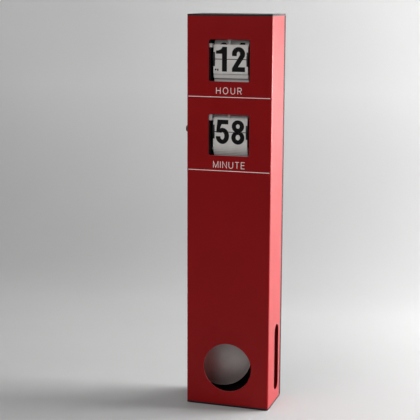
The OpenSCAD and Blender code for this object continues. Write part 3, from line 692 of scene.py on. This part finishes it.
def letter_strokes(letter):
    """Strokes of a letter in a cell one unit tall, and the cell's width."""
    if letter == "H":
        return [[(0, 0), (0, 1)], [(0.66, 0), (0.66, 1)], [(0, 0.53), (0.66, 0.53)]], 0.66
    if letter == "O":
        return [arc(0.4, 0.5, 0.4, 0.5, 90, 450, 40)], 0.8
    if letter == "U":
        return [[(0, 1), (0, 0.32)] + arc(0.33, 0.32, 0.33, 0.32, 180, 360, 20)[1:]
                + [(0.66, 1)]], 0.66
    if letter == "R":
        bowl = [(0, 1), (0.36, 1)] + arc(0.36, 0.75, 0.25, 0.25, 90, -90, 16)[1:] + [(0, 0.5)]
        return [[(0, 0), (0, 1.06)], bowl, [(0.3, 0.5), (0.62, 0)]], 0.62
    if letter == "M":
        return [[(0, 0), (0, 1), (0.39, 0.06), (0.78, 1), (0.78, 0)]], 0.78
    if letter == "I":
        return [[(0, 0), (0, 1)]], 0.0
    if letter == "N":
        return [[(0, 0), (0, 1), (0.66, 0), (0.66, 1)]], 0.66
    if letter == "T":
        return [[(0.31, 0), (0.31, 1)], [(0, 1), (0.62, 1)]], 0.62
    if letter == "E":
        return [[(0.56, 0), (0, 0), (0, 1), (0.56, 1)], [(0, 0.53), (0.52, 0.53)]], 0.58
    if letter == "P":
        bowl = [(0, 1), (0.34, 1)] + arc(0.34, 0.73, 0.27, 0.27, 90, -90, 16)[1:] + [(0, 0.46)]
        return [[(0, 0), (0, 1.1)], bowl], 0.61
    raise KeyError(letter)


def word_bm(word, height, stroke_w, x0, x1, z0, depth):
    """A word between x0 and x1 whose letters stand on z0."""
    cells = [letter_strokes(letter) for letter in word]
    inner = height - stroke_w
    letters_w = sum(cell[1] for cell in cells) * inner
    gap = (x1 - x0 - stroke_w - letters_w) / max(1, len(word) - 1)
    x = x0 + stroke_w / 2
    letters = []
    for strokes, width in cells:
        def place(px, pz, x=x):
            return (x + px, z0 + stroke_w / 2 + pz)
        scaled = [[(px * inner, pz * inner) for px, pz in stroke] for stroke in strokes]
        solids = [outline_solid(ribbon(points, stroke_w), place, depth) for points in scaled]
        letters.append(joined(solids, "letter"))
        x += width * inner + gap
    return merge(letters)


# ---------------------------------------------------------------- print on the cards

DRUMS = {
    "hour": {"now": "12", "next": "01", "flap": "hour_card", "joint": "hour_flap_fall",
             "axis": "hour_turn", "step": 15.0},
    "minute": {"now": "58", "next": "59", "flap": "minute_card", "joint": "minute_flap_fall",
               "axis": "minute_turn", "step": 6.0},
}
PITCH_R = 20.0
# The day half mark at the lower left of an hour card.
MARK_H = 2.5
MARK_STROKE = 0.85
MARK_X = (-18.6, -14.2)
MARK_Z = -13.3


def half(bm, upper, split_half):
    """Keeps the upper or lower half of a number, cut at the card's edge."""
    sign = 1 if upper else -1
    cut(bm, (0, 0, sign * split_half), (0, 0, -sign), keep_below=True)
    bmesh.ops.holes_fill(bm, edges=bm.edges[:])
    return bm


def move(bm, matrix):
    bmesh.ops.transform(bm, matrix=matrix, verts=bm.verts)
    return bm


def print_numbers(name, drum):
    """Prints the shown number on the front cards and the next one on the cards behind."""
    flap_low, flap_high = box_mm(f"{name}_flap")
    card_t = flap_high.y - flap_low.y
    split_z = joint_mm(drum["axis"]).z
    pivot = joint_mm(drum["joint"])
    pivot_dz = pivot.z - split_z
    split_half = flap_low.z - split_z
    front = Matrix.Translation((0, flap_low.y, split_z))
    numbers = {}
    for key in ("now", "next"):
        for upper in (True, False):
            bm = half(number_bm(drum[key]), upper, split_half)
            if name == "hour" and not upper:
                small = word_bm("PM", MARK_H, MARK_STROKE, *MARK_X, MARK_Z, INK_T)
                bm = merge([bm, small])
            numbers[key, upper] = bm
    add_piece(f"{name}_print_upper", move(numbers["now", True], front), "ink", drum["flap"])
    add_piece(f"{name}_print_lower", move(numbers["now", False], front), "ink", "case")
    # The next number: its upper half on the card behind, its lower half on the flap's back.
    a = math.radians(1.5 * drum["step"])
    axis_y = joint_mm(drum["axis"]).y
    behind = (Matrix.Translation((0, axis_y - PITCH_R * math.cos(a), split_z + PITCH_R * math.sin(a)))
              @ Matrix.Rotation(math.radians(-drum["step"]), 4, "X")
              @ Matrix.Translation((0, -card_t / 2, -pivot_dz)))
    add_piece(f"{name}_print_next", move(numbers["next", True], behind), "ink", "case")
    turned = (Matrix.Translation((0, pivot.y, pivot.z))
              @ Matrix.Rotation(math.pi, 4, "X")
              @ Matrix.Translation((0, -card_t / 2, pivot_dz)))
    add_piece(f"{name}_print_back", move(numbers["next", False], turned), "ink", drum["flap"])


# ---------------------------------------------------------------- print on the case

PRINT_T = 0.03
LINE_T = 0.7
LINE_Z = {"line_upper": 366.5, "line_lower": 282.3}
LABEL_STROKE = 0.68
# Word, letter height, left end, right end and foot of the letters.
LABELS = {"label_hour": ("HOUR", 7.7, -15.3, 14.9, 369.9),
          "label_minute": ("MINUTE", 7.9, -18.4, 19.5, 285.4)}


def print_case():
    """Prints the two words and the two lines on the front of the case."""
    place = Matrix.Translation((0, FRONT_Y, 0))
    for name, (word, height, left, right, foot) in LABELS.items():
        bm = word_bm(word, height, LABEL_STROKE, left, right, foot, PRINT_T)
        add_piece(name, move(bm, place), "print_white", "case")
    edge = WRAP_HIGH.x - BEND_R
    for name, z in LINE_Z.items():
        outline = rounded_rectangle(0, z, 2 * edge, LINE_T, 0.3, 4)
        bm = outline_solid([outline], lambda x, z: (x, z), PRINT_T)
        add_piece(name, move(bm, place), "print_white", "case")


# ---------------------------------------------------------------- pendulum bob

BOB_R = 38.0
BOB_T = 14.0
BOB_SHELL = 0.8
BEAD_R = 0.7


def build_bob():
    """Two pressed domes with a rolled bead where they meet."""
    low_f, high_f = box_mm("bob_front")
    centre = Vector(((low_f.x + high_f.x) / 2, high_f.y, (low_f.z + high_f.z) / 2))
    curve = (BOB_R ** 2 + BOB_T ** 2 / 4) / BOB_T
    rim = BOB_R - BEAD_R
    for name, side in (("bob_front", -1), ("bob_rear", 1)):
        outer = dome_profile(curve, rim)
        bead = [(rim + BEAD_R * math.cos(a), BEAD_R * math.sin(a))
                for a in (math.radians(d) for d in (75, 55, 35, 15, 0))]
        inner = [(r, h - BOB_SHELL) for r, h in dome_profile(curve, rim - 1.5)][::-1]
        profile = outer + bead + [(rim - 1.5, 0)] + inner
        bm = lathe([(r, side * h) for r, h in profile], 160)
        move(bm, Matrix.Translation(centre))
        piece = add_piece(f"{name}_shell", bm, "bob_metal", "pendulum")
        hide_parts(name)


def dome_profile(curve, rim, steps=28):
    """Profile from the axis to the rim of a shallow dome."""
    points = []
    for i in range(steps + 1):
        r = rim * i / steps
        points.append((r, math.sqrt(curve ** 2 - r ** 2) - curve + BOB_T / 2))
    return points


# ---------------------------------------------------------------- wires

WIRE_R = 0.6
WIRE_PITCH = 2.0
WIRES = [("wire_red", "wire_insulation"), ("wire_black", "black_plastic")]


def build_wires():
    """Two soft wires from the drive to the motor, in place of the straight CAD runs."""
    low, high = box_mm("motor_wires")
    radius = WIRE_R
    for i, (name, slot) in enumerate(WIRES):
        shift = WIRE_PITCH * i
        points = [(high.x - 1, high.y - radius, low.z + radius + shift),
                  (low.x + 4 + shift, high.y - radius, low.z + radius + shift),
                  (low.x + radius + shift, high.y - radius - 0.5, low.z + 8 + shift),
                  (low.x + radius + shift, high.y - radius - 1.5, low.z + 24),
                  (low.x + radius + shift, low.y + 3, high.z - 16),
                  (low.x + radius + shift, low.y + radius, high.z - 6),
                  (low.x + radius + shift, low.y + radius, high.z)]
        curve = bpy.data.curves.new(name, "CURVE")
        curve.dimensions = "3D"
        curve.bevel_depth = radius * MM
        curve.bevel_resolution = 4
        curve.use_fill_caps = True
        spline = curve.splines.new("NURBS")
        spline.points.add(len(points) - 1)
        for point, place in zip(spline.points, points):
            point.co = (place[0] * MM, place[1] * MM, place[2] * MM, 1)
        spline.use_endpoint_u = True
        spline.order_u = 3
        spline.resolution_u = 8
        obj = bpy.data.objects.new(name, curve)
        bpy.context.collection.objects.link(obj)
        curve.materials.append(MATERIAL[slot])
        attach(obj, "case")
        if i == 0:
            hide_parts("motor_wires")


# ---------------------------------------------------------------- stage, light, camera

def stage_material():
    """Matt paper, a little darker on the floor than on the backdrop."""
    s = Shader("stage_grey")
    height = s.node("ShaderNodeSeparateXYZ")
    s.link(s.coord, height.inputs[0])
    cloud = s.remap(s.noise(400, 2), 0, 1)
    floor = s.mix(cloud, (0.42, 0.42, 0.42), (0.45, 0.45, 0.45))
    backdrop = s.mix(cloud, (0.68, 0.68, 0.68), (0.72, 0.72, 0.72))
    base = s.mix(s.remap(height.outputs["Z"], 0, 1, 0, 0.3), floor, backdrop)
    s.see_through_from_behind()
    return s.finish(base, s.remap(s.noise(90), 0.75, 0.9), s.bump(s.noise(3), 0.02))


def build_stage():
    """A floor that sweeps up into a backdrop."""
    width, front, back, height, sweep = 8.0, -3.0, 0.9, 3.0, 0.5
    profile = [(front, 0)]
    for i in range(17):
        a = math.radians(-90 + 90 * i / 16)
        profile.append((back - sweep + sweep * math.cos(a), sweep + sweep * math.sin(a)))
    profile.append((back, height))
    bm = bmesh.new()
    rows = [[bm.verts.new((x, y, z)) for y, z in profile] for x in (-width / 2, width / 2)]
    for i in range(len(profile) - 1):
        bm.faces.new((rows[0][i], rows[1][i], rows[1][i + 1], rows[0][i + 1]))
    mesh = bpy.data.meshes.new("stage")
    bm.to_mesh(mesh)
    bm.free()
    for polygon in mesh.polygons:
        polygon.use_smooth = True
    obj = bpy.data.objects.new("stage", mesh)
    bpy.context.collection.objects.link(obj)
    mesh.materials.append(stage_material())


def area_light(name, place, target, width, height, power):
    data = bpy.data.lights.new(name, "AREA")
    data.shape = "RECTANGLE"
    data.size = width
    data.size_y = height
    data.energy = power
    obj = bpy.data.objects.new(name, data)
    obj.location = place
    aim = Vector(target) - Vector(place)
    obj.rotation_euler = aim.to_track_quat("-Z", "Y").to_euler()
    bpy.context.collection.objects.link(obj)


WORLD_STRENGTH = 0.22
# Name, place and target in metres, width, height and power.
LIGHTS = [("window_right", (1.45, 0.6, 0.5), (0, 0.1, 0.25), 0.8, 0.6, 72),
          ("panel_back", (0.65, 0.8, 0.18), (0.05, 0, 0.22), 0.5, 0.36, 22),
          ("softbox_front", (-0.5, -1.2, 1.2), (0, 0, 0.25), 1.2, 1.0, 10)]


def build_light():
    world = bpy.data.worlds.new("studio")
    bpy.context.scene.world = world
    world.use_nodes = True
    background = world.node_tree.nodes["Background"]
    background.inputs["Color"].default_value = (1, 1, 1, 1)
    background.inputs["Strength"].default_value = WORLD_STRENGTH
    for light in LIGHTS:
        area_light(*light)
    bpy.context.scene.view_settings.view_transform = "Standard"


CAMERA_PLACE = (376.9, -1287.9, 484.0)
CAMERA_YAW = 17.585
CAMERA_PITCH = 10.644
CAMERA_ROLL = 0.228
CAMERA_LENS = 99.74


def build_camera():
    yaw, pitch, roll = (math.radians(a) for a in (CAMERA_YAW, CAMERA_PITCH, CAMERA_ROLL))
    forward = Vector((-math.sin(yaw) * math.cos(pitch), math.cos(yaw) * math.cos(pitch),
                      -math.sin(pitch)))
    right = Vector((math.cos(yaw), math.sin(yaw), 0))
    up = right.cross(forward)
    right_rolled = right * math.cos(roll) + up * math.sin(roll)
    up_rolled = up * math.cos(roll) - right * math.sin(roll)
    matrix = Matrix((right_rolled, up_rolled, -forward)).transposed().to_4x4()
    matrix.translation = Vector(CAMERA_PLACE) * MM
    data = bpy.data.cameras.new("camera")
    data.lens = CAMERA_LENS
    data.sensor_width = 36
    data.clip_start = 0.05
    data.clip_end = 50
    camera = bpy.data.objects.new("camera", data)
    camera.matrix_world = matrix
    bpy.context.collection.objects.link(camera)
    bpy.context.scene.camera = camera


# ---------------------------------------------------------------- build

paint_frame()
build_wrap()
print_case()
for drum_name, drum_data in DRUMS.items():
    print_numbers(drum_name, drum_data)
build_bob()
build_wires()
build_stage()
build_light()
build_camera()
